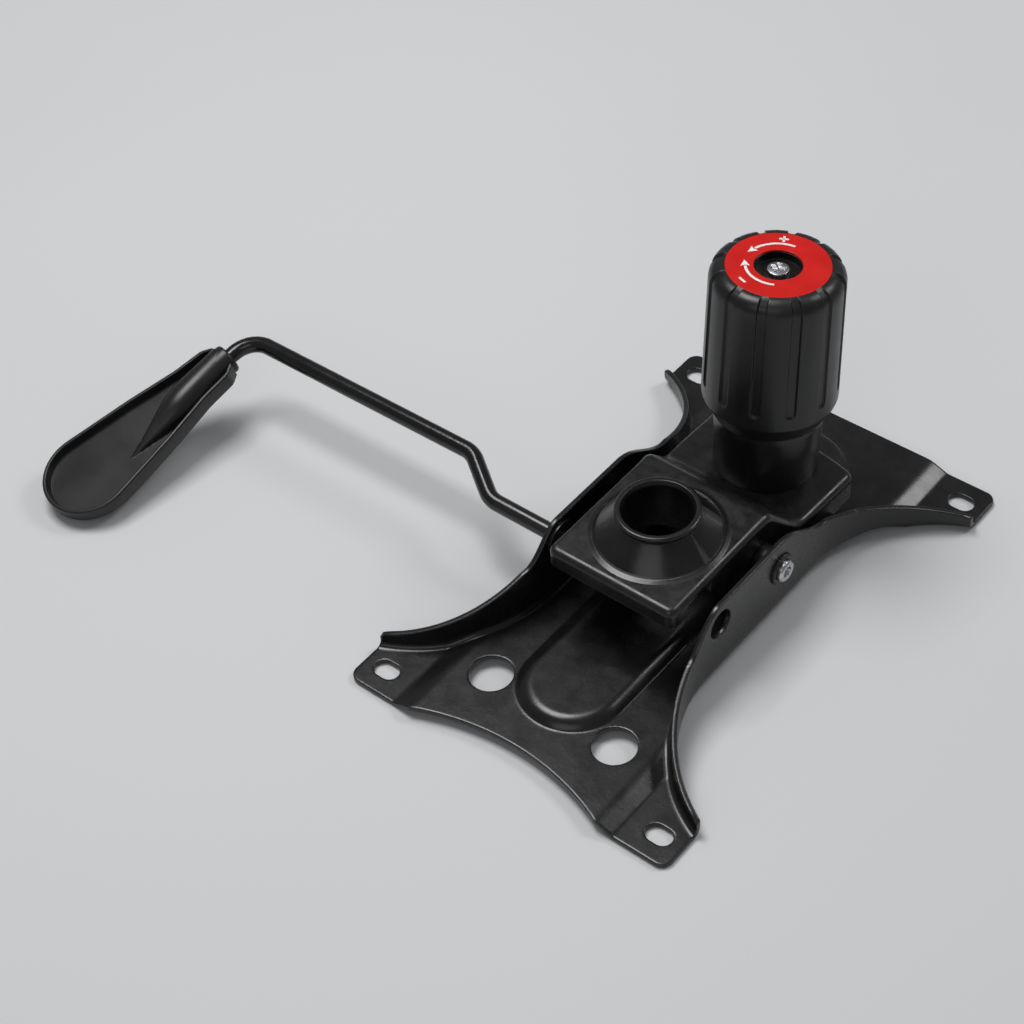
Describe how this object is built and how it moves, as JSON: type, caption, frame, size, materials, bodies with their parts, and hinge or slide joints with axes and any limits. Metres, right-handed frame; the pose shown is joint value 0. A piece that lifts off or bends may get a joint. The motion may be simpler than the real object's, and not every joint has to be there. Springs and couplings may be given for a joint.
{
  "type": "office chair tilt mechanism",
  "caption": "Butterfly tilt mechanism for an office chair: slotted seat plate with side flanges, rocking housing with a gas-lift socket, sprung tension knob and cranked release lever.",
  "frame": {"origin": "centre of the four seat slots, on the face of the ears that meets the seat", "axes": "+X to the chair's right as the part lies, +Y to the chair's front where the tension knob is, +Z away from the seat along the gas-lift column; the lever leaves towards -X"},
  "size_m": [0.3757, 0.2695, 0.1417],
  "materials": {
    "black_paint": "satin black powder coat",
    "black_plastic": "fine matte grain",
    "bright_zinc": "bright zinc plate",
    "plain_steel": "plain oiled steel",
    "red_label": "glossy printed disc",
    "black_rubber": "matte"
  },
  "bodies": {
    "plate": {"seat_plate": "black_paint", "pivot_bushes": "black_plastic", "lever_bush": "black_plastic", "rest_pads": "black_rubber"},
    "housing": {"housing": "black_paint", "column_socket": "black_paint", "pivot_axle": "bright_zinc", "pivot_tube": "black_paint", "axle_spacers": "black_plastic", "spring_seat": "plain_steel", "spring_sleeve": "black_plastic", "tension_spring": "plain_steel"},
    "bolt": {"tension_bolt": "plain_steel"},
    "thrust": {"thrust_washer": "plain_steel"},
    "knob": {"knob": "black_plastic", "knob_label": "red_label", "knob_insert": "plain_steel", "knob_screw": "bright_zinc", "screw_washer": "plain_steel"},
    "lever_slider": {"lever_clip": "plain_steel"},
    "lever": {"lever_rod": "black_paint", "release_tongue": "black_paint", "lever_handle": "black_plastic"}
  },
  "joints": [
    {"name": "tilt", "type": "hinge", "parent": "plate", "child": "housing", "pos_m": [0, 0.013, 0.03], "axis": [1, 0, 0], "range_deg": [0, 10], "stiffness_Nm_per_rad": 100, "deforming": ["tension_spring"]},
    {"name": "bolt_rock", "type": "hinge", "parent": "plate", "child": "bolt", "pos_m": [0, 0.06423, 0.0044], "axis": [1, 0, 0], "range_deg": [0, 5.5]},
    {"name": "knob_travel", "type": "slide", "parent": "bolt", "child": "thrust", "axis": [0, 0.061, 0.9981], "range_m": [-0.0045, 0.0045]},
    {"name": "knob_spin", "type": "hinge", "parent": "thrust", "child": "knob", "pos_m": [0, 0.06423, 0.0044], "axis": [0, 0.061, 0.9981], "range_deg": [-1085, 1085]},
    {"name": "lever_pull", "type": "slide", "parent": "plate", "child": "lever_slider", "axis": [-1, 0, 0], "range_m": [0, 0.012]},
    {"name": "lever_lift", "type": "hinge", "parent": "lever_slider", "child": "lever", "pos_m": [0, -0.032, 0.0345], "axis": [-1, 0, 0], "range_deg": [0, 20]}
  ],
  "couplings": [
    {"joint": "bolt_rock", "follows": "tilt", "ratio": 0.54},
    {"joint": "knob_spin", "follows": "knob_travel", "rad_per_m": 4188.8}
  ]
}
